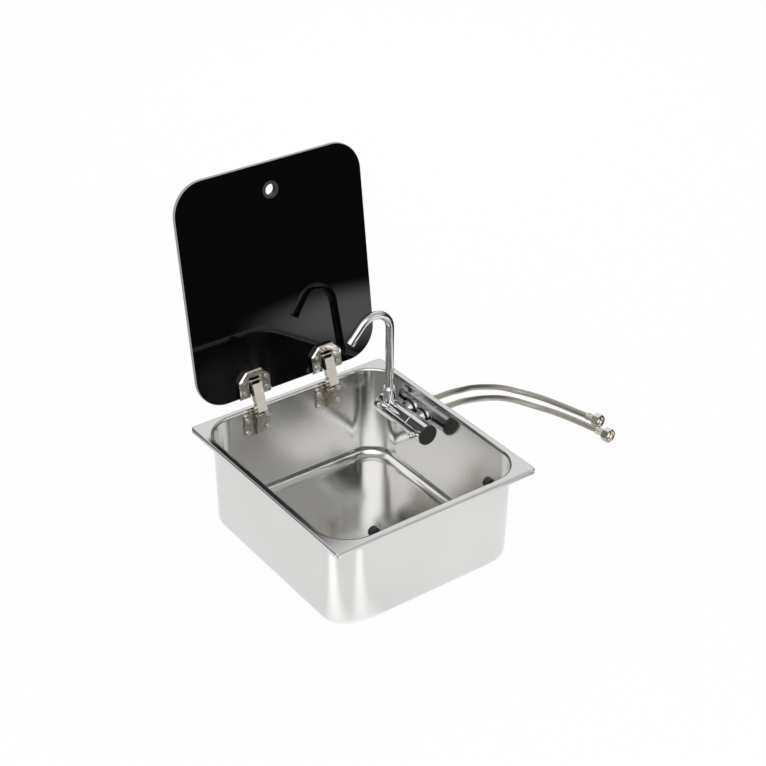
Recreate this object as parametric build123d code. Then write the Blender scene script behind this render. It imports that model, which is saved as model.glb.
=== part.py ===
from build123d import *
import os
from math import acos, atan, atan2, cos, degrees, hypot, radians, sin, sqrt, tan

# A drop-in sink bowl with a folding mixer tap and a hinged glass lid, shown with the lid open.
# Millimetres. The origin is on the bowl's underside, below the rim's centre; +X right, +Y towards the
# hinges, +Z up.

# --- bowl ---
rim_width = 320.0
rim_depth = 350.0
bowl_height = 148.0
sheet = 0.8
flange_side = 10.0
flange_front = 11.5
flange_back = 9.0
rim_corner = 5.0
lip_height = 7.0
lip_round = 2.4
bend_radius = 4.0
wall_corner = 46.0
wall_draft = 2.3
floor_radius = 16.0
drain_radius = 20.0
drain_forward = 70.0

# --- fits ---
running_gap = 0.3
pin_gap = 0.05
seat_gap = 0.05

# --- glass lid ---
lid_side_margin = 13.0
lid_back_margin = 12.0
lid_front_margin = 16.0
glass_thickness = 5.0
glass_edge_round = 0.8
lid_corner = 45.0
lid_lean = 7.9
lid_foot_in = 6.2
lid_foot_up = 19.1
lid_closed_gap = 3.0
grommet_bore = 8.0
grommet_wall = 2.6
grommet_flange = 1.4
grommet_flange_width = 1.6
grommet_from_edge = 39.0

# --- lid bumpers on the front wall ---
bumper_radius = 7.0
bumper_reach = 9.0
bumper_round = 1.8
bumper_from_wall = 58.0
bumper_stem = 2.2
bumper_stem_end = 2.4
bumper_washer_radius = 4.0
bumper_washer = 1.6

# --- hinges ---
hinge_spread = 60.0
pin_radius = 1.5
pin_head_radius = 2.5
pin_head = 0.8
link_length = 26.6
link_round = 3.4
link_plate = 1.2
link_tail = 18.0
web_offset = 6.2
web_start = 4.0
ear_width = 9.0
base_pivot_in = 8.0
base_pivot_down = 9.0
base_width = 43.0
base_height = 37.0
base_top_down = 5.5
base_plate = 2.0
base_corner = 6.0
base_rib_depth = 6.0
base_screw_x = 16.5
base_screw_top = 15.0
base_screw_pitch = 21.0
base_screw_radius = 2.0
screw_head_radius = 3.8
screw_head = 1.8
nut_width = 7.0
nut_height = 3.0
cup_width = 50.0
cup_height = 39.0
cup_thickness = 6.0
cup_corner = 13.0
cup_corner_round = 4.0
cup_bevel = 1.8
cup_slot_width = 16.4
cup_slot_height = 28.0
cup_pin_grip = 3.0
cup_pivot_up = 23.0
cup_pivot_out = 4.0
cup_gasket = 0.6
gasket_margin = 0.5
cup_screw_x = 18.0
cup_screw_low = 9.0
cup_screw_pitch = 16.0
cup_screw_radius = 1.6
cup_screw_head = 2.9
clamp_plate = 2.0
clamp_margin = 2.0

# --- tap ---
tap_off_wall = 23.0
tap_down = 38.0
tap_radius = 15.0
knob_radius = 15.4
knob_before_inlet = 42.0
knob_length = 33.0
knob_cap_thickness = 2.2
lever_back = 14.0
lever_radius = 4.4
lever_length = 8.5
body_length = 46.0
inlet_from_back = 107.0
inlet_pitch = 28.0
inlet_boss_radius = 8.5
inlet_flange_radius = 12.0
inlet_flange = 3.0
inlet_gasket = 1.5
inlet_thread_radius = 7.0
inlet_bore = 4.0
inlet_reach = 21.0
lock_nut_width = 22.0
lock_nut_height = 6.0
spigot_radius = 9.0
tee_length = 22.0
seal_radius = 1.2
rear_cap_length = 6.0
cartridge_radius = 10.0
cartridge_length = 24.0
cartridge_wall = 0.3
spindle_radius = 4.0
spindle_depth = 8.0
neck_radius = 8.5
neck_height = 10.0
union_radius = 10.0
union_height = 9.0
spout_radius = 6.0
spout_wall = 0.9
spout_socket = 8.0
spout_rise = 130.0
spout_bend = 28.0
spout_turn = 138.0
spout_drop = 28.0
aerator_radius = 7.0
aerator_length = 8.0
lock_screw_radius = 4.8
lock_screw_reach = 3.6
lock_screw_tilt = 32.0

# --- supply hoses ---
hose_radius = 4.4
sleeve_radius = 5.6
sleeve_length = 16.0
collar_length = 14.0
union_nut_width = 19.0
union_nut_length = 11.0
union_nut_bore = 8.3
tail_radius = 4.0

# Each hose's centreline leaves its collar along +X, falls to the surface and turns forward along it.
hose_hot_route = [
    (216.5, 87.0, 110.0),
    (245.8, 95.7, 99.8),
    (270.7, 110.6, 86.0),
    (292.8, 128.3, 70.6),
    (314.3, 146.3, 54.6),
    (337.6, 162.1, 39.0),
    (364.4, 172.5, 24.8),
    (394.2, 172.7, 13.5),
    (419.3, 156.0, 4.6),
    (433.6, 128.1, 4.6),
    (443.2, 98.2, 4.8),
    (450.3, 67.3, 5.6),
    (454.3, 36.7, 8.5),
]
hose_cold_route = [
    (215.0, 59.0, 110.0),
    (243.0, 66.3, 99.7),
    (267.3, 79.1, 86.0),
    (289.2, 94.6, 71.0),
    (310.7, 110.3, 55.6),
    (333.9, 123.9, 40.7),
    (359.9, 132.2, 26.8),
    (387.3, 129.6, 14.0),
    (409.6, 112.0, 4.6),
    (422.3, 85.0, 4.6),
    (431.3, 56.7, 4.8),
    (437.6, 27.5, 5.6),
    (440.2, -1.7, 8.5),
]

# --- derived places ---
wall_x = rim_width / 2 - flange_side
wall_front = rim_depth / 2 - flange_front
wall_back = rim_depth / 2 - flange_back
wall_y = (wall_front + wall_back) / 2
wall_shift = (wall_back - wall_front) / 2
draft_angle = degrees(atan(wall_draft / bowl_height))
lid_width = rim_width - 2 * lid_side_margin
lid_depth = rim_depth - lid_back_margin - lid_front_margin
lid_foot_back = rim_depth / 2 - lid_foot_in
lid_up = (sin(radians(lid_lean)), cos(radians(lid_lean)))
lid_front = (-lid_up[1], lid_up[0])
lid_foot = (lid_foot_back, bowl_height + lid_foot_up)
lid_plane = Plane(
    origin=(0, lid_foot[0], lid_foot[1]),
    x_dir=(1, 0, 0),
    z_dir=(0, lid_front[0], lid_front[1]),
)
lid_closed_back = rim_depth / 2 - lid_back_margin
lid_closed_under = bowl_height + lid_closed_gap
fold_angle = 90.0 + lid_lean
tap_x = wall_x - tap_off_wall
inlet_front = wall_back - inlet_from_back
knob_front = inlet_front - knob_before_inlet
bumper_spread = wall_x - bumper_from_wall
tap_z = bowl_height - tap_down
cup_pin_half = cup_slot_width / 2 + cup_pin_grip
body_front = knob_front + knob_length + running_gap
body_back = body_front + body_length
tee_front = body_back + running_gap
tee_back = tee_front + tee_length
tee_y = (tee_front + tee_back) / 2
cap_back = tee_back + running_gap + rear_cap_length
shank_end = wall_x + inlet_reach
collar_end = shank_end + collar_length


def inner_wall(half_size, height):
    """Half of the bowl's inside size at a height above the base."""
    return half_size - sheet - wall_draft * (1 - height / bowl_height)


def lid_point(up, out):
    """World (y, z) of a point on the open lid, up from its foot and out from its inner face."""
    y = lid_foot[0] + up * lid_up[0] + out * lid_front[0]
    z = lid_foot[1] + up * lid_up[1] + out * lid_front[1]
    return (y, z)


def third_corner(start, end, leg, side):
    """Point at the distance leg from both ends; side is +1 to the left of start to end."""
    dy = end[0] - start[0]
    dz = end[1] - start[1]
    span = hypot(dy, dz)
    rise = sqrt(leg**2 - span**2 / 4) * side / span
    return ((start[0] + end[0]) / 2 - dz * rise, (start[1] + end[1]) / 2 + dy * rise)


def bearing(start, end):
    """Angle of start to end in the YZ plane, in degrees."""
    return degrees(atan2(end[1] - start[1], end[0] - start[0]))


# The lid hangs on two links in a row: base pivot, knee pivot and cup pivot.
base_pivot = (
    inner_wall(wall_back, bowl_height - base_pivot_down) - base_pivot_in,
    bowl_height - base_pivot_down,
)
cup_pivot = lid_point(cup_pivot_up, cup_pivot_out)
cup_pivot_closed = (lid_closed_back - cup_pivot_up, lid_closed_under - cup_pivot_out)
knee = third_corner(base_pivot, cup_pivot, link_length, 1)
knee_closed = third_corner(base_pivot, cup_pivot_closed, link_length, 1)
inner_swing = (bearing(base_pivot, knee_closed) - bearing(base_pivot, knee)) % 360
outer_swing = bearing(knee_closed, cup_pivot_closed) - bearing(knee, cup_pivot)


def rod(start, direction, radius, length):
    """Round bar from start along direction."""
    frame = Plane(origin=start, z_dir=direction)
    return frame * Cylinder(radius, length, align=(Align.CENTER, Align.CENTER, Align.MIN))


def hex_bar(start, direction, across_flats, length, bore):
    """Hexagonal nut from start along direction, with two of its flats level."""
    flat = Vector(*direction).cross(Vector(0, 0, 1))
    frame = Plane(origin=start, x_dir=flat, z_dir=direction)
    corner = across_flats / 2 / cos(radians(30))
    outline = RegularPolygon(corner, 6, rotation=0) - Circle(bore)
    nut = extrude(frame * outline, length)
    round_off = rod(start, direction, corner - 0.6, length)
    return nut & (round_off + extrude(frame * Pos(0, 0, 0.8) * Circle(corner + 1), length - 1.6))


def side_plate(outline, x_start, thickness):
    """Plate cut from an outline given in (y, z), from x_start towards +X."""
    frame = Plane(origin=(x_start, 0, 0), x_dir=(0, 1, 0), z_dir=(1, 0, 0))
    return extrude(frame * outline, thickness, dir=(1, 0, 0))


def strap(start, end, radius):
    """Straight link outline with round ends, in (y, z)."""
    middle = Pos((start[0] + end[0]) / 2, (start[1] + end[1]) / 2)
    length = hypot(end[0] - start[0], end[1] - start[1])
    return middle * Rot(0, 0, bearing(start, end)) * SlotCenterToCenter(length, 2 * radius)


def cross_pin(x, point, half_width):
    """Headed pin along X through point, with its heads just outside half_width."""
    reach = half_width + seat_gap
    pin = rod((x - reach, *point), (1, 0, 0), pin_radius, 2 * reach)
    pin += rod((x + reach, *point), (1, 0, 0), pin_head_radius, pin_head)
    pin += rod((x - reach - pin_head, *point), (1, 0, 0), pin_head_radius, pin_head)
    return pin


def pin_hole(x, point, reach):
    """Hole along X that a cross pin turns in."""
    return rod((x - reach, *point), (1, 0, 0), pin_radius + pin_gap, 2 * reach)


def tapered_block(half_x, half_y, corner, z_low, z_high):
    """Rounded block round the bowl's middle whose walls follow its draft; sizes are at the rim."""
    inset = wall_draft * (1 - z_low / bowl_height)
    outline = RectangleRounded(2 * (half_x - inset), 2 * (half_y - inset), corner - inset)
    return extrude(Pos(0, wall_shift, z_low) * outline, z_high - z_low, taper=-draft_angle)


def rim_block(inset, z_low, z_high):
    """Rounded block of the rim's outline, moved in by inset."""
    outline = RectangleRounded(rim_width - 2 * inset, rim_depth - 2 * inset, rim_corner - inset)
    return extrude(Pos(0, 0, z_low) * outline, z_high - z_low)


def round_floor(block, radius):
    """Rounds the lowest edges of a block."""
    return fillet(block.edges().group_by(Axis.Z)[0], radius)


def make_bowl():
    """Pressed bowl with a narrow flange, a turned-down lip and all its holes."""
    outside = round_floor(tapered_block(wall_x, wall_y, wall_corner, 0, bowl_height), floor_radius)
    inside = tapered_block(
        wall_x - sheet, wall_y - sheet, wall_corner - sheet, sheet, bowl_height + sheet
    )
    inside = round_floor(inside, floor_radius - sheet)
    flange = rim_block(0, bowl_height - lip_height, bowl_height)
    under_flange = rim_block(sheet, bowl_height - lip_height, bowl_height - sheet)
    flange -= fillet(under_flange.edges().group_by(Axis.Z)[-1], lip_round - sheet)
    solid = outside + flange
    under_bend = [
        edge
        for edge in solid.edges()
        if abs(edge.center().Z - (bowl_height - sheet)) < 0.01
        and abs(edge.center().X) < wall_x + 0.5
        and abs(edge.center().Y - wall_shift) < wall_y + 0.5
        and edge.bounding_box().size.Z < 0.01
    ]
    solid = fillet(under_bend, bend_radius - sheet)
    solid -= inside
    mouth = [
        edge
        for edge in solid.edges().group_by(Axis.Z)[-1]
        if abs(edge.center().X) < wall_x and abs(edge.center().Y - wall_shift) < wall_y
    ]
    solid = fillet(mouth, bend_radius)
    outer_edge = [
        edge
        for edge in solid.edges().group_by(Axis.Z)[-1]
        if abs(edge.center().X) > wall_x + 1 or abs(edge.center().Y - wall_shift) > wall_y + 1
    ]
    solid = fillet(outer_edge, lip_round)
    solid -= rod((0, -drain_forward, -sheet), (0, 0, 1), drain_radius, 3 * sheet)
    for x, z in base_screw_places():
        solid -= rod((x, wall_back - 10, z), (0, 1, 0), base_screw_radius + pin_gap, 20)
    for y in inlet_places():
        solid -= rod((wall_x - 10, y, tap_z), (1, 0, 0), inlet_thread_radius + running_gap, 20)
    for x in bumper_places():
        solid -= rod((x, -wall_front - 10, stem_height()), (0, 1, 0), bumper_stem + pin_gap, 20)
    return solid


def base_screw_places():
    """(x, z) of every hinge base screw."""
    rows = [bowl_height - base_screw_top - base_screw_pitch * row for row in (0, 1)]
    sides = [hinge_spread * side + base_screw_x * wing for side in (-1, 1) for wing in (-1, 1)]
    return [(x, z) for x in sides for z in rows]


def inlet_places():
    """Y of the two inlets."""
    return [inlet_front, inlet_front + inlet_pitch]


def bumper_places():
    """X of the two lid bumpers."""
    return [-bumper_spread, bumper_spread]


def bumper_z():
    """Height of the bumpers' centre; their top just meets the closed lid."""
    return lid_closed_under - running_gap - bumper_radius


def stem_height():
    """Height of the bumpers' stems, with room for the washers under the flange's bend."""
    return bowl_height - bend_radius - bumper_washer_radius


def make_bumper(x):
    """Rubber buffer with a stem through the front wall."""
    face = -inner_wall(wall_front, bumper_z() - bumper_radius) + seat_gap
    head = rod((x, face, bumper_z()), (0, 1, 0), bumper_radius, bumper_reach)
    head = fillet(head.edges().group_by(Axis.Y)[-1], bumper_round)
    stem_start = -wall_front - bumper_washer - bumper_stem_end
    return head + rod((x, stem_start, stem_height()), (0, 1, 0), bumper_stem, face - stem_start)


def make_bumper_washer(x):
    """Retaining washer on the bumper's stem, outside the front wall."""
    start = (x, -wall_front - bumper_washer, stem_height())
    washer = rod(start, (0, 1, 0), bumper_washer_radius, bumper_washer)
    return washer - rod(start, (0, 1, 0), bumper_stem + pin_gap, bumper_washer)


def base_face():
    """Y of the hinge base's back face, set against the wall at the base's lowest point."""
    return inner_wall(wall_back, bowl_height - base_top_down - base_height) - seat_gap


def make_hinge_base(x):
    """Base plate on the back wall with a rib and the pivot ear."""
    top = bowl_height - base_top_down
    outline = Pos(x, top - base_height / 2) * RectangleRounded(base_width, base_height, base_corner)
    frame = Plane(origin=(0, base_face(), 0), x_dir=(1, 0, 0), z_dir=(0, -1, 0))
    base = extrude(frame * outline, base_plate)
    base = chamfer(base.edges().group_by(Axis.Y)[0], 0.6)
    rib_front = base_face() - base_plate - base_rib_depth
    rib = Polygon(
        (base_face() - base_plate, top - base_height + 1.5),
        (rib_front, top - base_height + 5),
        (rib_front, base_pivot[1]),
        (base_face() - base_plate, base_pivot[1] + link_round - 0.5),
        align=None,
    )
    rib += Pos(*base_pivot) * Circle(link_round)
    base += side_plate(rib, x - ear_width / 2, ear_width)
    base -= pin_hole(x, base_pivot, ear_width)
    for screw_x, screw_z in base_screw_places():
        base -= rod(
            (screw_x, base_face() - 10, screw_z), (0, 1, 0), base_screw_radius + pin_gap, 20
        )
    return base


def make_base_screws(x):
    """Four cross-headed screws through a hinge base and the back wall."""
    screws = []
    for screw_x, screw_z in base_screw_places():
        if abs(screw_x - x) > base_width:
            continue
        head_y = base_face() - base_plate - seat_gap
        shank = wall_back + nut_height + 1.5 - head_y
        screw = rod((screw_x, head_y, screw_z), (0, 1, 0), base_screw_radius, shank)
        head = rod((screw_x, head_y, screw_z), (0, -1, 0), screw_head_radius, screw_head)
        head = fillet(head.edges().group_by(Axis.Y)[0], 0.9)
        screws.append(screw + cross_cut(head, (screw_x, head_y - screw_head, screw_z)))
    return Compound(screws)


def cross_cut(head, top):
    """Cuts a cross recess into a screw head whose top is at top and faces -Y."""
    slot = 2 * screw_head_radius * 0.62
    middle = Pos(top[0], top[1], top[2])
    return head - middle * Box(slot, 1.6, 0.9) - middle * Box(0.9, 1.6, slot)


def make_base_nuts(x):
    """Four nuts behind the back wall."""
    nuts = []
    for screw_x, screw_z in base_screw_places():
        if abs(screw_x - x) > base_width:
            continue
        start = (screw_x, wall_back + seat_gap, screw_z)
        bore = base_screw_radius + pin_gap
        nuts.append(hex_bar(start, (0, 1, 0), nut_width, nut_height, bore))
    return Compound(nuts)


def make_inner_link(x):
    """Pair of side plates joined by a back web, from the base pivot to the knee."""
    half = ear_width / 2 + running_gap
    link = None
    for start in (x - half - link_plate, x + half):
        plate = side_plate(strap(base_pivot, knee, link_round), start, link_plate)
        link = plate if link is None else link + plate
    direction = Vector(0, knee[0] - base_pivot[0], knee[1] - base_pivot[1]).normalized()
    back = Vector(1, 0, 0).cross(direction) * -1
    middle = Vector(x, *base_pivot) + direction * (link_length - 4.5)
    middle += back * (link_round - link_plate / 2)
    web_frame = Plane(origin=middle, x_dir=(1, 0, 0), z_dir=back)
    link += web_frame * Box(2 * half, 9.0, link_plate)
    link -= pin_hole(x, base_pivot, ear_width)
    return link - pin_hole(x, knee, ear_width)


def make_outer_link(x):
    """Channel from the cup pivot past the knee, with its web on the room side."""
    half = ear_width / 2 + 2 * running_gap + link_plate
    direction = Vector(0, knee[0] - cup_pivot[0], knee[1] - cup_pivot[1]).normalized()
    front = Vector(1, 0, 0).cross(direction)
    if front.Y > 0:
        front = front * -1
    tail = Vector(0, *knee) + direction * link_tail
    web_top = Vector(0, *cup_pivot) + front * web_offset + direction * web_start
    web_foot = tail + front * web_offset
    cheek = Polygon(
        (web_top.Y, web_top.Z),
        (web_foot.Y, web_foot.Z),
        (tail.Y, tail.Z),
        (knee[0] - front.Y * link_round, knee[1] - front.Z * link_round),
        (cup_pivot[0] - front.Y * link_round, cup_pivot[1] - front.Z * link_round),
        align=None,
    )
    cheek += Pos(*cup_pivot) * Circle(link_round)
    link = side_plate(cheek, x - half - link_plate, 2 * (half + link_plate))
    inner_top = web_top - front * link_plate - direction * 20
    inner_foot = web_foot - front * link_plate + direction * 5
    hollow = Polygon(
        (inner_top.Y, inner_top.Z),
        (inner_foot.Y, inner_foot.Z),
        (inner_foot.Y - front.Y * 40, inner_foot.Z - front.Z * 40),
        (inner_top.Y - front.Y * 40, inner_top.Z - front.Z * 40),
        align=None,
    )
    link -= side_plate(hollow, x - half, 2 * half)
    link -= pin_hole(x, cup_pivot, 2 * ear_width)
    return link - pin_hole(x, knee, 2 * ear_width)


def cup_outline(margin):
    """Outline of a hinge cup on the lid plane with cut and rounded shoulders, moved in by margin."""
    half = cup_width / 2 - margin
    top = cup_height - margin
    outline = Polygon(
        (-half, margin),
        (half, margin),
        (half, top - cup_corner),
        (half - cup_corner, top),
        (cup_corner - half, top),
        (-half, top - cup_corner),
        align=None,
    )
    shoulders = [corner for corner in outline.vertices() if corner.Y > margin + 1]
    return fillet(shoulders, cup_corner_round)


def cup_slot():
    """Slot in a hinge cup, open at the lid's foot."""
    return Pos(0, cup_slot_height / 2 - 1) * Rectangle(cup_slot_width, cup_slot_height + 2)


def lid_local(x, up, out):
    """World point of a place on the lid plane."""
    return lid_plane.from_local_coords(Vector(x, up, out))


def cup_screw_places(x):
    """(x, up) of one cup's screws."""
    rows = (cup_screw_low, cup_screw_low + cup_screw_pitch)
    return [(x + side * cup_screw_x, row) for side in (-1, 1) for row in rows]


def make_cup(x):
    """Horseshoe cup plate on the lid's inner face."""
    frame = lid_plane * Pos(x, 0, cup_gasket)
    cup = extrude(frame * (cup_outline(0) - cup_slot()), cup_thickness)
    rim = [edge for edge in cup.edges() if is_out(edge, cup_gasket + cup_thickness)]
    cup = chamfer(rim, cup_bevel)
    cup -= pin_hole(x, cup_pivot, cup_pin_half + 1)
    return cup - screw_shafts(x)


def is_out(edge, out):
    """True for an edge that lies wholly at a distance out from the lid's inner face."""
    ends = [lid_plane.to_local_coords(edge @ share).Z for share in (0, 0.5, 1)]
    return all(abs(height - out) < 0.01 for height in ends)


def screw_shafts(x):
    """Clearance holes of one cup's screws, through cup, gasket, glass and clamp plate."""
    direction = lid_plane.z_dir
    depth = glass_thickness + clamp_plate + 5
    holes = None
    for screw_x, up in cup_screw_places(x):
        hole = rod(
            lid_local(screw_x, up, -depth), direction, cup_screw_radius + pin_gap, 2 * depth + 5
        )
        holes = hole if holes is None else holes + hole
    return holes


def make_cup_gasket(x):
    """Thin pad between a cup and the glass."""
    pad = extrude(lid_plane * Pos(x, 0) * (cup_outline(gasket_margin) - cup_slot()), cup_gasket)
    return pad - screw_shafts(x)


def make_clamp(x):
    """Plate behind the glass that the cup's screws pull against."""
    frame = lid_plane * Pos(x, 0, -glass_thickness - clamp_plate)
    clamp = extrude(frame * cup_outline(clamp_margin), clamp_plate)
    return clamp - screw_shafts(x)


def make_cup_screws(x):
    """Four countersunk screws of one cup."""
    direction = lid_plane.z_dir
    out = cup_gasket + cup_thickness + seat_gap
    depth = out + glass_thickness + clamp_plate
    screws = []
    for screw_x, up in cup_screw_places(x):
        screw = rod(lid_local(screw_x, up, out - depth), direction, cup_screw_radius, depth)
        head = rod(lid_local(screw_x, up, out), direction, cup_screw_head, 1.1)
        slot = lid_plane * Pos(screw_x, up, out + 1.1) * Box(4.2, 0.7, 1.0)
        slot += lid_plane * Pos(screw_x, up, out + 1.1) * Box(0.7, 4.2, 1.0)
        screws.append(screw + head - slot)
    return Compound(screws)


def make_glass():
    """Toughened glass lid with a finger hole and the cup screw holes."""
    frame = lid_plane * Pos(0, lid_depth / 2, -glass_thickness)
    outline = RectangleRounded(lid_width, lid_depth, lid_corner)
    glass = extrude(frame * outline, glass_thickness)
    glass = chamfer(glass.edges(), glass_edge_round)
    hole_radius = grommet_bore + grommet_wall + seat_gap
    up = lid_depth - grommet_from_edge
    glass -= rod(lid_local(0, up, -10), lid_plane.z_dir, hole_radius, 20)
    for side in (-1, 1):
        glass -= screw_shafts(side * hinge_spread)
    return glass


def make_grommet():
    """Plastic ring that lines the finger hole, flanged on both faces."""
    up = lid_depth - grommet_from_edge
    length = glass_thickness + 2 * grommet_flange
    start = lid_local(0, up, -glass_thickness - grommet_flange)
    direction = lid_plane.z_dir
    ring = rod(start, direction, grommet_bore + grommet_wall, length)
    wide = grommet_bore + grommet_wall + grommet_flange_width
    ring += rod(start, direction, wide, grommet_flange - seat_gap)
    ring += rod(lid_local(0, up, seat_gap), direction, wide, grommet_flange - seat_gap)
    ring -= rod(start, direction, grommet_bore, length)
    mouth = [edge for edge in ring.edges().filter_by(GeomType.CIRCLE) if edge.radius > wide - 0.1]
    return chamfer(mouth, 0.4)


def tap_bar(y_start, y_end, radius):
    """Round bar on the tap's axis."""
    return rod((tap_x, y_start, tap_z), (0, 1, 0), radius, y_end - y_start)


def make_tap_body():
    """Fixed valve body with two inlet shanks through the wall and the spigot for the spout."""
    body = tap_bar(body_front, body_back, tap_radius)
    body = chamfer(body.edges().group_by(Axis.Y)[0], 0.6)
    body += tap_bar(body_back, tee_back + running_gap, spigot_radius)
    wall_in = inner_wall(wall_x, tap_z - inlet_flange_radius)
    flange_start = wall_in - seat_gap - inlet_gasket - inlet_flange
    for y in inlet_places():
        body += rod((tap_x, y, tap_z), (1, 0, 0), inlet_boss_radius, flange_start - tap_x)
        body += rod((flange_start, y, tap_z), (1, 0, 0), inlet_flange_radius, inlet_flange)
        body += rod((flange_start, y, tap_z), (1, 0, 0), inlet_thread_radius, shank_end - flange_start)
    for y in inlet_places():
        body -= rod((tap_x, y, tap_z), (1, 0, 0), inlet_bore, shank_end)
    body -= tap_bar(body_front, body_front + cartridge_length + 1, cartridge_radius + cartridge_wall)
    body -= tap_bar(body_front, tee_y + inlet_bore, inlet_bore)
    body -= rod((tap_x, tee_y, tap_z), (0, 0, 1), inlet_bore, spigot_radius + 5)
    groove = tap_bar(tee_y - 5, tee_y + 5, spigot_radius + 1) - tap_bar(tee_y - 5, tee_y + 5, 7.4)
    body -= groove
    for y in seal_places():
        body -= seal_ring(y, seal_radius + pin_gap)
    return body


def seal_places():
    """Y of the two seals on the spigot."""
    return [tee_y - 8.5, tee_y + 8.5]


def seal_ring(y, radius):
    """Ring round the tap's axis, sunk into the spigot."""
    frame = Plane(origin=(tap_x, y, tap_z), z_dir=(0, 1, 0))
    return frame * Torus(spigot_radius - seal_radius, radius)


def make_seals():
    """Seal rings between the spigot and the spout carrier."""
    return Compound([seal_ring(y, seal_radius) for y in seal_places()])


def make_rear_cap():
    """Chrome cap that keeps the spout carrier on the spigot."""
    start = tee_back + running_gap
    cap = tap_bar(start + seat_gap, cap_back, tap_radius)
    cap = fillet(cap.edges().group_by(Axis.Y)[-1], 2.5)
    return cap


def make_inlet_gaskets():
    """Rubber washers between the inlet flanges and the wall."""
    wall_in = inner_wall(wall_x, tap_z - inlet_flange_radius)
    washers = []
    for y in inlet_places():
        start = (wall_in - seat_gap - inlet_gasket, y, tap_z)
        washer = rod(start, (1, 0, 0), inlet_flange_radius + 0.8, inlet_gasket)
        washers.append(washer - rod(start, (1, 0, 0), inlet_thread_radius + pin_gap, inlet_gasket))
    return Compound(washers)


def make_lock_nuts():
    """Nuts that clamp the tap from outside the wall."""
    nuts = []
    for y in inlet_places():
        start = (wall_x + seat_gap, y, tap_z)
        bore = inlet_thread_radius + pin_gap
        nuts.append(hex_bar(start, (1, 0, 0), lock_nut_width, lock_nut_height, bore))
    return Compound(nuts)


def make_cartridge():
    """Valve cartridge inside the body, with a socket for the spindle."""
    start = body_front + 0.8
    cartridge = tap_bar(start, start + cartridge_length, cartridge_radius)
    cartridge -= tap_bar(start, start + spindle_depth + running_gap, spindle_radius + running_gap)
    for y in inlet_places():
        cartridge -= rod((tap_x, y, tap_z), (1, 0, 0), inlet_bore, cartridge_radius + 1)
    return cartridge - tap_bar(start + 14, start + cartridge_length, inlet_bore)


def make_knob():
    """Turning sleeve at the front of the tap."""
    knob = tap_bar(knob_front, knob_front + knob_length, knob_radius)
    knob = fillet(knob.edges().group_by(Axis.Y)[-1], 0.8)
    knob -= tap_bar(knob_front + 14, knob_front + knob_length, knob_radius - 2.5)
    hub = tap_bar(knob_front + 12, knob_front + knob_length - 2, spindle_radius + 3.5)
    knob += hub
    knob -= tap_bar(knob_front + 10, knob_front + knob_length, spindle_radius + pin_gap)
    stem = rod(lever_root(), (-1, 0, 0), lever_radius - 1.6 + pin_gap, knob_radius)
    return knob - stem


def lever_root():
    """Inner end of the lever pin."""
    return (tap_x - knob_radius + 5, knob_front + lever_back - 3, tap_z)


def make_lever():
    """Lever pin that sticks out of the knob."""
    root = lever_root()
    neck = rod(root, (-1, 0, 0), lever_radius - 1.6, 7.5)
    grip = rod((root[0] - 5.6, root[1], root[2]), (-1, 0, 0), lever_radius, lever_length)
    grip = fillet(grip.edges().group_by(Axis.X)[0], 2.0)
    return neck + grip


def make_knob_cap():
    """Black disc that closes the knob's front."""
    start = knob_front - knob_cap_thickness - seat_gap
    cap = tap_bar(start, start + knob_cap_thickness, knob_radius - 0.1)
    return fillet(cap.edges().group_by(Axis.Y)[0], 1.0)


def make_spindle():
    """Spindle that the knob turns in the cartridge."""
    return tap_bar(knob_front + 10.5, body_front + 0.8 + spindle_depth, spindle_radius)


def make_spout_carrier():
    """Collar that folds round the tap's axis, with the socket for the spout."""
    collar = tap_bar(tee_front, tee_back, tap_radius)
    collar = chamfer(collar.edges(), 0.5)
    neck_top = tap_z + tap_radius + neck_height
    collar += rod((tap_x, tee_y, tap_z), (0, 0, 1), neck_radius, neck_top - tap_z)
    tilt = radians(lock_screw_tilt)
    boss = rod(
        (tap_x, tee_y, tap_z),
        (-cos(tilt), 0, sin(tilt)),
        lock_screw_radius + 1.5,
        tap_radius + 1.5,
    )
    collar += boss
    collar -= tap_bar(tee_front, tee_back, spigot_radius + running_gap)
    socket = neck_top - spout_socket
    collar -= rod((tap_x, tee_y, tap_z), (0, 0, 1), inlet_bore, neck_top - tap_z)
    collar -= rod((tap_x, tee_y, socket), (0, 0, 1), spout_radius + pin_gap, spout_socket)
    collar -= rod(
        (tap_x, tee_y, tap_z), (-cos(tilt), 0, sin(tilt)), 2.5 + pin_gap, tap_radius + 5
    )
    return collar


def make_lock_screw():
    """Socket-headed screw that sets how firmly the spout folds."""
    tilt = radians(lock_screw_tilt)
    direction = Vector(-cos(tilt), 0, sin(tilt))
    middle = Vector(tap_x, tee_y, tap_z)
    seat = tap_radius + 1.5 + seat_gap
    screw = rod(middle + direction * (spigot_radius + 1), direction, 2.5, seat - spigot_radius)
    head = rod(middle + direction * seat, direction, lock_screw_radius, lock_screw_reach)
    top = middle + direction * (seat + lock_screw_reach - 2)
    socket = Plane(origin=top, z_dir=direction) * RegularPolygon(2.6, 6)
    return screw + head - extrude(socket, 3)


def union_base():
    """Height of the union nut's underside."""
    return tap_z + tap_radius + neck_height + seat_gap


def make_union():
    """Chrome nut that holds the spout in the carrier."""
    base = union_base()
    nut = rod((tap_x, tee_y, base), (0, 0, 1), union_radius, union_height)
    nut = chamfer(nut.edges().group_by(Axis.Z)[-1], 2.0)
    nut = chamfer(nut.edges().group_by(Axis.Z)[0], 0.8)
    return nut - rod((tap_x, tee_y, base), (0, 0, 1), spout_radius + pin_gap, union_height)


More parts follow.
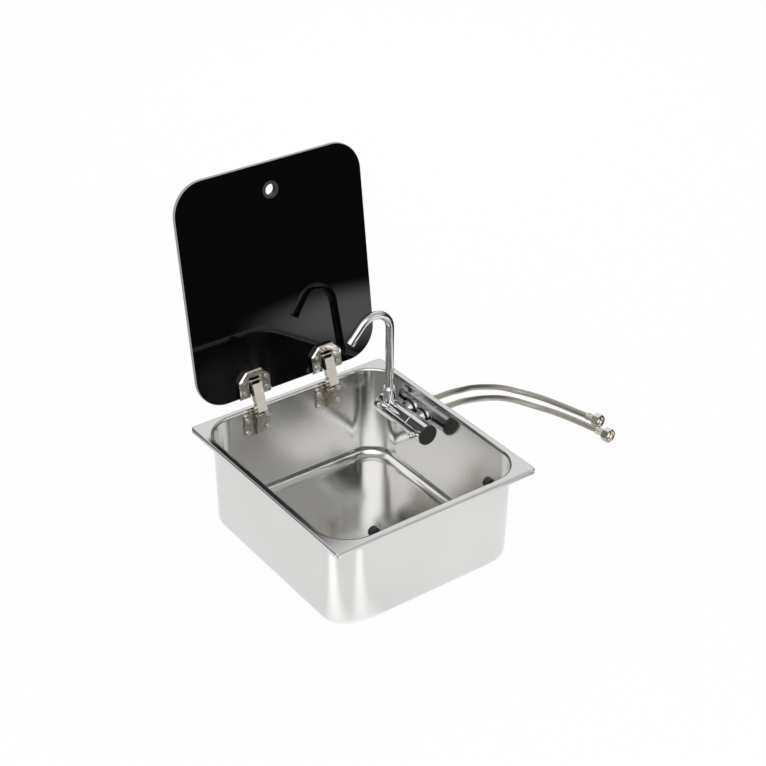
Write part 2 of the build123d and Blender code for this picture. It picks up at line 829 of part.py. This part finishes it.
def spout_path():
    """Centreline of the spout: up, over to the left and down."""
    foot = Vector(tap_x, tee_y, union_base() - spout_socket + 0.5)
    top = Vector(tap_x, tee_y, tap_z + spout_rise)
    turn = radians(spout_turn)
    over = Vector(
        tap_x - spout_bend + spout_bend * cos(turn), tee_y, top.Z + spout_bend * sin(turn)
    )
    crown = Vector(tap_x - spout_bend, tee_y, top.Z + spout_bend)
    heading = Vector(-sin(turn), 0, cos(turn))
    tip = over + heading * spout_drop
    rise = Edge.make_line(foot, top)
    quarter = Edge.make_three_point_arc(
        top,
        Vector(tap_x - spout_bend * (1 - cos(radians(45))), tee_y, top.Z + spout_bend * sin(radians(45))),
        crown,
    )
    half_rest = radians(90 + (spout_turn - 90) / 2)
    bend_mid = Vector(
        tap_x - spout_bend + spout_bend * cos(half_rest), tee_y, top.Z + spout_bend * sin(half_rest)
    )
    rest = Edge.make_three_point_arc(crown, bend_mid, over)
    return Wire([rise, quarter, rest, Edge.make_line(over, tip)]), foot, tip, heading


def make_spout():
    """Bent tube of the spout."""
    path, foot, tip, heading = spout_path()
    section = Plane(origin=foot, z_dir=(0, 0, 1)) * (
        Circle(spout_radius) - Circle(spout_radius - spout_wall)
    )
    return sweep(section, path=path)


def make_aerator():
    """Outlet sleeve on the spout's tip."""
    path, foot, tip, heading = spout_path()
    start = tip - heading * (aerator_length - 2)
    sleeve = rod(start, heading, aerator_radius, aerator_length)
    sleeve = chamfer(sleeve.edges().filter_by(GeomType.CIRCLE), 0.5)
    return sleeve - rod(start, heading, spout_radius + pin_gap, aerator_length)


def make_hose(start, route):
    """Round hose of straight runs and the largest tangent arcs; returns the solid and its end."""
    points = [Vector(*start)] + [Vector(*point) for point in route]
    radii = []
    length = 0.0
    for before, corner, after in zip(points, points[1:], points[2:]):
        turn = radians((corner - before).get_angle(after - corner))
        shorter = min((corner - before).length, (after - corner).length)
        radii.append(0.45 * shorter / tan(turn / 2))
    path = FilletPolyline(*points, radius=radii)
    length = path.length
    section = Plane(origin=points[0], z_dir=points[1] - points[0]) * Circle(hose_radius)
    tube = sweep(section, path=path)
    share = tube.volume / (length * 3.141592653589793 * hose_radius**2)
    print("hose length", round(length, 1), "volume share", round(share, 4))
    print("  radii", [round(radius, 1) for radius in radii])
    return tube, points[-1], (points[-1] - points[-2]).normalized()


def make_collar(y):
    """Crimped collar that joins a hose to its shank, over the shank's end."""
    start = (shank_end + seat_gap, y, tap_z)
    collar = rod(start, (1, 0, 0), sleeve_radius + 2.0, 5.0)
    collar += rod(start, (1, 0, 0), sleeve_radius, collar_length - 2 * seat_gap)
    return fillet(collar.edges().group_by(Axis.X)[-1], 0.8)


def make_sleeve(end, heading):
    """Crimped sleeve at a hose's far end, with the tail that the nut turns on."""
    sleeve = rod(end + heading * seat_gap, heading, sleeve_radius, sleeve_length)
    for step in (4, 8, 12):
        groove = rod(end + heading * step, heading, sleeve_radius + 1, 1.0)
        sleeve -= groove - rod(end + heading * step, heading, sleeve_radius - 0.5, 1.0)
    tail = rod(end + heading * sleeve_length, heading, tail_radius, 2.5)
    stop = rod(end + heading * (sleeve_length + 2.5), heading, union_nut_bore - 1.0, 1.6)
    return sleeve + tail + stop - rod(end + heading * 6, heading, tail_radius - 1.5, 20)


def make_union_nut(end, heading):
    """Hexagonal union nut with an open threaded mouth."""
    start = end + heading * (sleeve_length + 2 * seat_gap)
    nut = hex_bar(start, heading, union_nut_width, union_nut_length, tail_radius + running_gap)
    return nut - rod(start + heading * 2.2, heading, union_nut_bore, union_nut_length)


def export(name, shape):
    """Writes one node."""
    export_step(shape, os.path.join("parts", name + ".step"))


os.makedirs("parts", exist_ok=True)

export("bowl", make_bowl())
export("glass_lid", make_glass())
export("finger_grommet", make_grommet())

for side, label in ((-1, "left"), (1, "right")):
    x = side * hinge_spread
    export("hinge_base_" + label, make_hinge_base(x))
    export("hinge_base_screws_" + label, make_base_screws(x))
    export("hinge_base_nuts_" + label, make_base_nuts(x))
    export("inner_link_" + label, make_inner_link(x))
    export("outer_link_" + label, make_outer_link(x))
    export("base_pin_" + label, cross_pin(x, base_pivot, ear_width / 2 + running_gap + link_plate))
    knee_half = ear_width / 2 + 2 * running_gap + 2 * link_plate
    export("knee_pin_" + label, cross_pin(x, knee, knee_half))
    export("cup_pin_" + label, rod((x - cup_pin_half, *cup_pivot), (1, 0, 0), pin_radius, 2 * cup_pin_half))
    export("hinge_cup_" + label, make_cup(x))
    export("cup_gasket_" + label, make_cup_gasket(x))
    export("clamp_plate_" + label, make_clamp(x))
    export("cup_screws_" + label, make_cup_screws(x))
    export("lid_bumper_" + label, make_bumper(side * bumper_spread))
    export("bumper_washer_" + label, make_bumper_washer(side * bumper_spread))

export("tap_body", make_tap_body())
export("tap_rear_cap", make_rear_cap())
export("spout_seals", make_seals())
export("inlet_gaskets", make_inlet_gaskets())
export("inlet_lock_nuts", make_lock_nuts())
export("valve_cartridge", make_cartridge())
export("tap_knob", make_knob())
export("tap_lever", make_lever())
export("knob_cap", make_knob_cap())
export("valve_spindle", make_spindle())
export("spout_carrier", make_spout_carrier())
export("fold_lock_screw", make_lock_screw())
export("spout_union", make_union())
export("spout_tube", make_spout())
export("aerator", make_aerator())

for label, y, route in (
    ("cold", inlet_places()[0], hose_cold_route),
    ("hot", inlet_places()[1], hose_hot_route),
):
    hose, end, heading = make_hose((collar_end, y, tap_z), route)
    export("hose_" + label, hose)
    export("hose_collar_" + label, make_collar(y))
    export("hose_sleeve_" + label, make_sleeve(end, heading))
    export("hose_nut_" + label, make_union_nut(end, heading))
    print("hose end", label, [round(v, 2) for v in end], [round(v, 4) for v in heading])

print("base pivot", base_pivot)
print("knee", knee, "closed", knee_closed)
print("cup pivot", cup_pivot, "closed", cup_pivot_closed)
print("swings", inner_swing, outer_swing, fold_angle)
print("tee y", tee_y, "tap z", tap_z)
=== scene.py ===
from math import cos, pi, radians, sin
import bpy
import bmesh
from mathutils import Matrix, Vector


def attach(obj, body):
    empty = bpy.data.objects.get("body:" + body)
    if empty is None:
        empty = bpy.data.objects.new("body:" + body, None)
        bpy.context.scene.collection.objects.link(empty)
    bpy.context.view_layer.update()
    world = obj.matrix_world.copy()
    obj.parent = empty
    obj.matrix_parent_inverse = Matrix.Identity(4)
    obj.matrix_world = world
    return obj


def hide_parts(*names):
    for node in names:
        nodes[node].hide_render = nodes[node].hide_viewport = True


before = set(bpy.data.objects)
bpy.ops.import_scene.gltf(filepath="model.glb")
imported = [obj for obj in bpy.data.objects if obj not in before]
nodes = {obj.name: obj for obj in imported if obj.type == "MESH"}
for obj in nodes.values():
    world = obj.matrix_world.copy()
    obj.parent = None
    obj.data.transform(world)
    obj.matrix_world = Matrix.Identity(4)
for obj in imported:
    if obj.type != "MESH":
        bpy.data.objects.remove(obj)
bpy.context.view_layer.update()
print("sink frame loaded,", len(nodes), "solids")

scene = bpy.context.scene
scene.view_settings.view_transform = "Standard"

# the view: a little left of the front and above the rim
shot = {
    "azimuth": -36.44,
    "elevation": 31.73,
    "roll": 0.57,
    "distance": 2.2146,
    "focalPixels": 1652.22,
    "framePixels": 766,
    "aimPixels": (-22.56, 64.27),  # how far the rim's centre sits from the frame's centre
    "rimCentre": (0, 0, 0.148),
}


def addCamera():
    azimuth, elevation, roll = (radians(shot[k]) for k in ("azimuth", "elevation", "roll"))
    back = Vector((sin(azimuth) * cos(elevation), -cos(azimuth) * cos(elevation), sin(elevation)))
    right = (-back).cross(Vector((0, 0, 1))).normalized()
    up = right.cross(-back)
    right, up = right * cos(roll) + up * sin(roll), up * cos(roll) - right * sin(roll)
    perPixel = shot["distance"] / shot["focalPixels"]
    place = Vector(shot["rimCentre"]) + back * shot["distance"]
    place += up * shot["aimPixels"][1] * perPixel - right * shot["aimPixels"][0] * perPixel
    camera = bpy.data.objects.new("sinkCamera", bpy.data.cameras.new("sinkCamera"))
    camera.data.sensor_fit = "HORIZONTAL"
    camera.data.sensor_width = 36
    camera.data.lens = shot["focalPixels"] / shot["framePixels"] * 36
    camera.data.clip_start, camera.data.clip_end = 0.05, 60
    camera.matrix_world = Matrix((right, up, back)).transposed().to_4x4()
    camera.location = place
    scene.collection.objects.link(camera)
    scene.camera = camera


addCamera()
print("camera set")

# supply hoses
hoses = {
    "radius": 0.0044,
    "ringStep": 0.0006,
    "around": 48,
    "bundles": 12,  # wire bundles laid each way round the hose
    "lay": 0.0115,  # length of hose over which bundlesPerLay bundles pass one side
    "bundlesPerLay": 4,
    "relief": 0.00022,
    "fittings": ("hose_collar_", "hose_sleeve_", "hose_nut_"),
    "hot": [
        (0.1850, 0.0870, 0.1100),
        (0.2165, 0.0870, 0.1100),
        (0.2458, 0.0957, 0.0998),
        (0.2707, 0.1106, 0.0860),
        (0.2928, 0.1283, 0.0706),
        (0.3143, 0.1463, 0.0546),
        (0.3376, 0.1621, 0.0390),
        (0.3644, 0.1725, 0.0248),
        (0.3942, 0.1727, 0.0135),
        (0.4193, 0.1560, 0.0046),
        (0.4336, 0.1281, 0.0046),
        (0.4432, 0.0982, 0.0048),
        (0.4503, 0.0673, 0.0056),
        (0.4543, 0.0367, 0.0085),
    ],
    "cold": [
        (0.1850, 0.0590, 0.1100),
        (0.2150, 0.0590, 0.1100),
        (0.2430, 0.0663, 0.0997),
        (0.2673, 0.0791, 0.0860),
        (0.2892, 0.0946, 0.0710),
        (0.3107, 0.1103, 0.0556),
        (0.3339, 0.1239, 0.0407),
        (0.3599, 0.1322, 0.0268),
        (0.3873, 0.1296, 0.0140),
        (0.4096, 0.1120, 0.0046),
        (0.4223, 0.0850, 0.0046),
        (0.4313, 0.0567, 0.0048),
        (0.4376, 0.0275, 0.0056),
        (0.4402, -0.0017, 0.0085),
    ],
}


def hoseLine(route):
    curve = bpy.data.curves.new("hoseRoute", "CURVE")
    curve.dimensions = "3D"
    spline = curve.splines.new("NURBS")
    spline.points.add(len(route) - 1)
    for point, place in zip(spline.points, route):
        point.co = (*place, 1)
    spline.order_u = 3
    spline.use_endpoint_u = True
    spline.resolution_u = 40
    holder = bpy.data.objects.new("hoseRoute", curve)
    scene.collection.objects.link(holder)
    bpy.context.view_layer.update()
    line = bpy.data.meshes.new_from_object(holder)
    points = [v.co.copy() for v in line.vertices]
    bpy.data.objects.remove(holder)
    bpy.data.meshes.remove(line)
    bpy.data.curves.remove(curve)
    return points


def evenSteps(points, step):
    runs = [(b - a).length for a, b in zip(points, points[1:])]
    total = sum(runs)
    count = round(total / step)
    made, index, walked = [], 0, 0.0
    for k in range(count + 1):
        want = total * k / count
        while index < len(runs) - 1 and walked + runs[index] < want:
            walked += runs[index]
            index += 1
        share = min(1, max(0, (want - walked) / runs[index]))
        made.append(points[index].lerp(points[index + 1], share))
    return made, total


def braidHeight(turn, along):
    # how proud the wires stand: two sets of bundles that cross, each over the other in turn
    a = turn * hoses["bundles"] + along / hoses["lay"] * hoses["bundlesPerLay"]
    b = turn * hoses["bundles"] - along / hoses["lay"] * hoses["bundlesPerLay"]
    over = 0.5 + 0.5 * sin(pi * (a + b)) * sin(pi * (a - b))
    first = abs(sin(pi * a)) ** 0.6
    second = abs(sin(pi * b)) ** 0.6
    return first * over + second * (1 - over)


def makeHose(name):
    points, total = evenSteps(hoseLine(hoses[name]), hoses["ringStep"])
    mesh = bmesh.new()
    uvLayer = mesh.loops.layers.uv.new("hoseMap")
    around = hoses["around"]
    side = Vector((0, 0, 1))
    rings = []
    for k, point in enumerate(points):
        ahead = points[min(k + 1, len(points) - 1)] - points[max(k - 1, 0)]
        ahead.normalize()
        side = (side - ahead * side.dot(ahead)).normalized()
        other = ahead.cross(side)
        along = total * k / (len(points) - 1)
        ring = []
        for j in range(around):
            angle = 2 * pi * j / around
            lift = hoses["relief"] * (braidHeight(j / around, along) - 1)
            spoke = side * cos(angle) + other * sin(angle)
            ring.append(mesh.verts.new(point + spoke * (hoses["radius"] + lift)))
        rings.append(ring)
    for k in range(len(rings) - 1):
        for j in range(around):
            following = (j + 1) % around
            face = mesh.faces.new(
                (rings[k][j], rings[k][following], rings[k + 1][following], rings[k + 1][j])
            )
            face.smooth = True
            marks = ((k, j), (k, j + 1), (k + 1, j + 1), (k + 1, j))
            for loop, (row, column) in zip(face.loops, marks):
                loop[uvLayer].uv = (column / around, row * total / (len(rings) - 1))
    mesh.faces.new(reversed(rings[0]))
    mesh.faces.new(rings[-1])
    bmesh.ops.recalc_face_normals(mesh, faces=mesh.faces)
    data = bpy.data.meshes.new("braidedHose_" + name)
    mesh.to_mesh(data)
    mesh.free()
    hose = bpy.data.objects.new("braidedHose_" + name, data)
    scene.collection.objects.link(hose)
    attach(hose, "bowl")
    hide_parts("hose_" + name)
    points[::8] + [points[-1]]
    print("hose", name, round(total, 4), "m")
    return hose


hoseHot = makeHose("hot")
hoseCold = makeHose("cold")

# shader writing


class Wire:
    # one socket of a finish's node tree; sums and products on it add their own nodes
    def __init__(self, finish, socket):
        self.finish, self.socket = finish, socket

    def join(self, operation, values):
        sockets = [v.socket.type for v in values if isinstance(v, Wire)]
        kind = "ShaderNodeVectorMath" if set(sockets) & {"VECTOR", "RGBA"} else "ShaderNodeMath"
        return self.finish.node(kind, {"operation": operation}, dict(enumerate(values)))

    def __add__(self, other):
        return self.join("ADD", (self, other))

    def __radd__(self, other):
        return self.join("ADD", (other, self))

    def __sub__(self, other):
        return self.join("SUBTRACT", (self, other))

    def __rsub__(self, other):
        return self.join("SUBTRACT", (other, self))

    def __mul__(self, other):
        return self.join("MULTIPLY", (self, other))

    def __rmul__(self, other):
        return self.join("MULTIPLY", (other, self))

    def __pow__(self, other):
        return self.join("POWER", (self, other))

    def __lt__(self, other):
        return self.join("LESS_THAN", (self, other))

    def __abs__(self):
        return self.join("ABSOLUTE", (self,))

    def sine(self):
        return self.join("SINE", (self,))

    def clamp(self):
        return self.finish.node("ShaderNodeClamp", {}, {"Value": self})

    def part(self, index):
        return self.finish.node("ShaderNodeSeparateXYZ", {}, {0: self}, index)


class Finish:
    # a material with one shader; what stays the same all over is set on the shader itself
    def __init__(self, name):
        self.material = bpy.data.materials.new(name)
        self.material.use_nodes = True
        self.tree = self.material.node_tree
        self.tree.nodes.clear()
        self.output = self.tree.nodes.new("ShaderNodeOutputMaterial")
        self.shader = self.tree.nodes.new("ShaderNodeBsdfPrincipled")
        self.tree.links.new(self.shader.outputs[0], self.output.inputs["Surface"])

    def node(self, kind, settings, inputs, output=0):
        made = self.tree.nodes.new(kind)
        for key, value in settings.items():
            setattr(made, key, value)
        for key, value in inputs.items():
            if isinstance(value, Wire):
                self.tree.links.new(value.socket, made.inputs[key])
            else:
                made.inputs[key].default_value = value
        return Wire(self, made.outputs[output])

    def surface(self, **sockets):
        for key, value in sockets.items():
            name = "".join(" " + c if c.isupper() else c for c in key).strip().title()
            name = "IOR" if key == "ior" else name
            if isinstance(value, Wire):
                self.tree.links.new(value.socket, self.shader.inputs[name])
            else:
                self.shader.inputs[name].default_value = value
        return self.material

    def place(self, output="Object"):
        return self.node("ShaderNodeTexCoord", {}, {}, output)

    def noise(self, scale, detail=2):
        inputs = {"Vector": self.place(), "Scale": scale, "Detail": detail}
        return self.node("ShaderNodeTexNoise", {}, inputs)

    def tone(self, share, dark, pale):
        settings = {"data_type": "RGBA"}
        return self.node("ShaderNodeMix", settings, {0: share, 6: (*dark, 1), 7: (*pale, 1)}, 2)

    def bump(self, height, strength, distance):
        inputs = {"Height": height, "Strength": strength, "Distance": distance}
        return self.node("ShaderNodeBump", {}, inputs)


def nodeFinish(material, *names):
    for name in names:
        for holder in nodes[name].material_slots:
            holder.material = material


def pair(*names):
    return [name + side for name in names for side in ("_left", "_right")]


# pressed steel bowl
steel = {
    "dark": (0.66, 0.655, 0.645),
    "pale": (0.74, 0.735, 0.72),
    "roughness": 0.16,
    "grainPerMetre": 1500,
    "grainBump": 0.03,
}


def bowlFinish():
    finish = Finish("satinSteel")
    cloud = finish.noise(9, 3)
    grain = finish.noise(steel["grainPerMetre"], 1)
    return finish.surface(
        baseColor=finish.tone(cloud, steel["dark"], steel["pale"]),
        metallic=1.0,
        roughness=steel["roughness"] + (cloud - 0.5) * 0.10 + (grain - 0.5) * 0.05,
        normal=finish.bump(grain, steel["grainBump"], 0.0002),
    )


nodeFinish(bowlFinish(), "bowl")
print("bowl finished")

# black glass lid
lid = {
    "lean": 7.9,  # degrees from upright
    "faceTurn": 0.96,  # below this the surface has turned away from the faces and is ground edge
    "glass": (0.0016, 0.0016, 0.0019),
    "groundEdge": (0.34, 0.36, 0.36),
    "roughness": 0.018,
    "ior": 1.37,
}


def glassFinish():
    finish = Finish("blackGlass")
    across = (0, -cos(radians(lid["lean"])), sin(radians(lid["lean"])))
    facing = finish.node(
        "ShaderNodeVectorMath", {"operation": "DOT_PRODUCT"}, {0: finish.place("Normal"), 1: across}, 1
    )
    edge = abs(facing) < lid["faceTurn"]
    smear = finish.noise(5, 2)
    return finish.surface(
        baseColor=finish.tone(edge, lid["glass"], lid["groundEdge"]),
        roughness=lid["roughness"] + edge * 0.3 + smear * 0.012,
        ior=lid["ior"],
    )


nodeFinish(glassFinish(), "glass_lid")
print("lid finished")

# hinges and hose fittings; ripple is how deep the press left its soft waves, in mm
nickel = {"dark": (0.72, 0.68, 0.62), "pale": (0.86, 0.82, 0.76), "roughness": 0.15, "ripple": 0}
linkNickel = {"dark": (0.50, 0.46, 0.40), "pale": (0.68, 0.63, 0.56), "roughness": 0.17, "ripple": 0.2}
pressedNickel = {"dark": (0.62, 0.58, 0.52), "pale": (0.90, 0.86, 0.80), "roughness": 0.14, "ripple": 0.4}
# the base plates carry the hinge nickel set darker than the rest, a painted shade
shadedBaseNickel = {"dark": (0.44, 0.41, 0.36), "pale": (0.66, 0.62, 0.56), "roughness": 0.20, "ripple": 0.3}
screwZinc = {"dark": (0.78, 0.77, 0.75), "pale": (0.92, 0.91, 0.89), "roughness": 0.34, "ripple": 0}


def nickelFinish(name, metal):
    finish = Finish(name)
    cloud = finish.noise(60, 3)
    grain = finish.noise(2500, 1)
    ripple = finish.noise(110, 2) * metal["ripple"]
    return finish.surface(
        baseColor=finish.tone(cloud, metal["dark"], metal["pale"]),
        metallic=1.0,
        roughness=metal["roughness"] + (cloud - 0.5) * 0.08,
        normal=finish.bump(ripple + grain * 0.002, 1.0, 0.001),
    )


linkNames = pair("inner_link", "outer_link", "base_pin", "knee_pin", "cup_pin")
screwNames = pair("cup_screws", "hinge_base_screws", "hinge_base_nuts", "bumper_washer")
nodeFinish(nickelFinish("linkNickel", linkNickel), *linkNames)
nodeFinish(nickelFinish("pressedNickel", pressedNickel), *pair("hinge_cup"))
nodeFinish(nickelFinish("plainNickel", nickel), *pair("clamp_plate"))
nodeFinish(nickelFinish("shadedBaseNickel", shadedBaseNickel), *pair("hinge_base"))
nodeFinish(nickelFinish("screwZinc", screwZinc), *screwNames)
print("hinges finished")

# mixer tap
chrome = {"dark": (0.66, 0.665, 0.675), "pale": (0.80, 0.805, 0.81), "roughness": 0.04}


def tapFinish():
    finish = Finish("chromePlate")
    cloud = finish.noise(40, 2)
    return finish.surface(
        baseColor=finish.tone(cloud, chrome["dark"], chrome["pale"]),
        metallic=1.0,
        roughness=chrome["roughness"] + cloud * 0.02,
    )


def brassFinish():
    finish = Finish("plainBrass")
    cloud = finish.noise(80, 3)
    return finish.surface(
        baseColor=finish.tone(cloud, (0.50, 0.36, 0.15), (0.66, 0.50, 0.25)),
        metallic=1.0,
        roughness=0.28 + (cloud - 0.5) * 0.2,
    )


nodeFinish(
    tapFinish(),
    "tap_body", "tap_rear_cap", "tap_knob", "tap_lever", "spout_carrier", "fold_lock_screw", "spout_union",
    "spout_tube", "aerator",
)
fittingNames = [part + name for part in hoses["fittings"] for name in ("hot", "cold")]
nodeFinish(nickelFinish("fittingNickel", nickel), *fittingNames)
nodeFinish(brassFinish(), "inlet_lock_nuts", "valve_spindle")
print("tap finished")

# rubber and plastic
darkParts = {"rubber": (0.018, 0.018, 0.018), "disc": (0.035, 0.035, 0.036), "cartridge": (0.75, 0.74, 0.70)}


def matteFinish(name, colour, roughness, grainPerMetre, bump):
    finish = Finish(name)
    grain = finish.noise(grainPerMetre, 2)
    dusty = tuple(c * 1.35 + 0.004 for c in colour)
    return finish.surface(
        baseColor=finish.tone(grain, colour, dusty),
        roughness=roughness + (grain - 0.5) * 0.15,
        normal=finish.bump(grain, bump, 0.0003),
    )


rubber = matteFinish("blackRubber", darkParts["rubber"], 0.55, 1800, 0.25)
disc = matteFinish("blackPlastic", darkParts["disc"], 0.36, 2600, 0.10)
nodeFinish(rubber, *pair("lid_bumper", "cup_gasket"), "spout_seals", "inlet_gaskets")
nodeFinish(disc, "finger_grommet", "knob_cap")
nodeFinish(matteFinish("whitePlastic", darkParts["cartridge"], 0.4, 900, 0.05), "valve_cartridge")
print("rubber and plastic finished")

# braid; its colour darkens down into the crevices between the wires, a painted shade
braid = {"gap": (0.12, 0.115, 0.10), "wire": (0.64, 0.61, 0.54), "wiresPerBundle": 5}


def braidFinish():
    finish = Finish("steelBraid")
    spot = finish.node("ShaderNodeUVMap", {"uv_map": "hoseMap"}, {})
    turn = spot.part(0) * hoses["bundles"]
    along = spot.part(1) * (hoses["bundlesPerLay"] / hoses["lay"])
    first, second = turn + along, turn - along
    over = (first + second) * pi
    across = (first - second) * pi
    share = 0.5 + 0.5 * over.sine() * across.sine()
    riseA, riseB = abs((first * pi).sine()) ** 0.6, abs((second * pi).sine()) ** 0.6
    wiresA = 0.75 + 0.25 * (first * (2 * pi * braid["wiresPerBundle"])).sine()
    wiresB = 0.75 + 0.25 * (second * (2 * pi * braid["wiresPerBundle"])).sine()
    height = riseA * wiresA * share + riseB * wiresB * (1 - share)
    return finish.surface(
        # painted shade: the colour goes darker where the braid's height drops, into the crevices and gaps
        # between wires
        baseColor=finish.tone(height.clamp(), braid["gap"], braid["wire"]),
        metallic=0.85,
        roughness=0.46 - 0.18 * height,
        normal=finish.bump(height, 0.5, 0.0002),
    )


braidMaterial = braidFinish()
for hose in (hoseHot, hoseCold):
    hose.data.materials.append(braidMaterial)
print("hoses finished")

# floor, world and lamps
studio = {
    "floor": (0.90, 0.90, 0.90),
    "floorGlow": 0.95,  # how much of the floor's white is the backdrop's own
    # what metal and glass see of the floor: soft pools of light round the sink, dark beyond
    "pools": [
        ((0, 0), (1, 1), (0.38, 0.50), 0.92),
        ((0.12, -0.28), (1, 1), (0.08, 0.24), 0.06),
        ((0.56, -0.50), (1, 1), (0.08, 0.27), 2.30),
        ((-0.105, -0.36), (1, 0.16), (0.016, 0.05), 0.40),
        ((-0.34, -0.150), (0.16, 1), (0.016, 0.05), 0.50),
    ],
    "poolFloor": 0.04,
    # and of the room: dark at the horizon, grey above, and three large soft boxes
    "skyLevels": (0.05, 0.50),
    "skyEdge": (0.14, 0.46),
    "softBoxes": [
        ((-0.60, -0.62, 0.50), (0.72, 0.93), 1.25),  # beside the camera
        ((0.50, 0.62, 0.60), (0.76, 0.95), 0.42),  # behind, on the tap's side
        ((0.50, -0.86, 0.10), (0.90, 0.97), 0.90),  # low in front of the tap's side
    ],
    "worldLevel": 0.72,
    "lamps": [
        ("keyLamp", (-1.3, -1.9, 2.3), (0, 0, 0.15), 1.5, 30),
        ("backLamp", (1.4, 1.6, 1.9), (0, 0, 0.15), 1.2, 14),
    ],
}


def rayIs(finish, kind):
    return finish.node("ShaderNodeLightPath", {}, {}, "Is " + kind + " Ray")


def fade(finish, value, edge, levels):
    inputs = {"Value": value, 1: edge[0], 2: edge[1], 3: levels[0], 4: levels[1]}
    return finish.node("ShaderNodeMapRange", {"interpolation_type": "SMOOTHSTEP"}, inputs)


def addFloor():
    finish = Finish("paleFloor")
    finish.surface(baseColor=(*studio["floor"], 1), roughness=0.9)
    seen = (rayIs(finish, "Camera") + rayIs(finish, "Transmission")).clamp()
    reflected = rayIs(finish, "Glossy")
    level = studio["poolFloor"]
    for centre, squeeze, edge, strength in studio["pools"]:
        spot = (finish.place() - (*centre, 0)) * (*squeeze, 0)
        reach = finish.node("ShaderNodeVectorMath", {"operation": "LENGTH"}, {0: spot}, 1)
        level = level + fade(finish, reach, edge, (strength, 0))
    level = seen + reflected * level
    glow = finish.node("ShaderNodeEmission", {}, {"Color": (1, 1, 1, 1), "Strength": level})
    shader = Wire(finish, finish.shader.outputs[0])
    share = seen * studio["floorGlow"] + reflected
    mixed = finish.node("ShaderNodeMixShader", {}, {0: share, 1: shader, 2: glow})
    finish.tree.links.new(mixed.socket, finish.output.inputs["Surface"])
    bpy.ops.mesh.primitive_plane_add(size=30, location=(0, 0, -0.0005))
    floor = bpy.context.object
    floor.name = "studioFloor"
    floor.data.materials.append(finish.material)


def addWorld():
    world = bpy.data.worlds.new("studioWorld")
    scene.world = world
    world.use_nodes = True
    finish = Finish.__new__(Finish)
    finish.tree = world.node_tree
    finish.tree.nodes.clear()
    seen = (rayIs(finish, "Camera") + rayIs(finish, "Transmission")).clamp()
    reflected = rayIs(finish, "Glossy")
    way = finish.place("Generated")
    room = fade(finish, way.part(2), studio["skyEdge"], studio["skyLevels"])
    for aim, edge, strength in studio["softBoxes"]:
        inputs = {0: way, 1: Vector(aim).normalized()}
        facing = finish.node("ShaderNodeVectorMath", {"operation": "DOT_PRODUCT"}, inputs, 1)
        room = room + fade(finish, facing, edge, (0, strength))
    level = seen + reflected * room + (1 - seen) * (1 - reflected) * studio["worldLevel"]
    sky = finish.node("ShaderNodeBackground", {}, {"Color": (1, 1, 1, 1), "Strength": level})
    output = finish.tree.nodes.new("ShaderNodeOutputWorld")
    finish.tree.links.new(sky.socket, output.inputs["Surface"])


def addLamps():
    for name, place, aim, size, energy in studio["lamps"]:
        data = bpy.data.lights.new(name, "AREA")
        data.size, data.energy = size, energy
        lamp = bpy.data.objects.new(name, data)
        lamp.location = place
        way = Vector(aim) - Vector(place)
        lamp.rotation_euler = way.to_track_quat("-Z", "Y").to_euler()
        lamp.visible_glossy = False
        scene.collection.objects.link(lamp)


addFloor()
addWorld()
addLamps()
print("studio set")
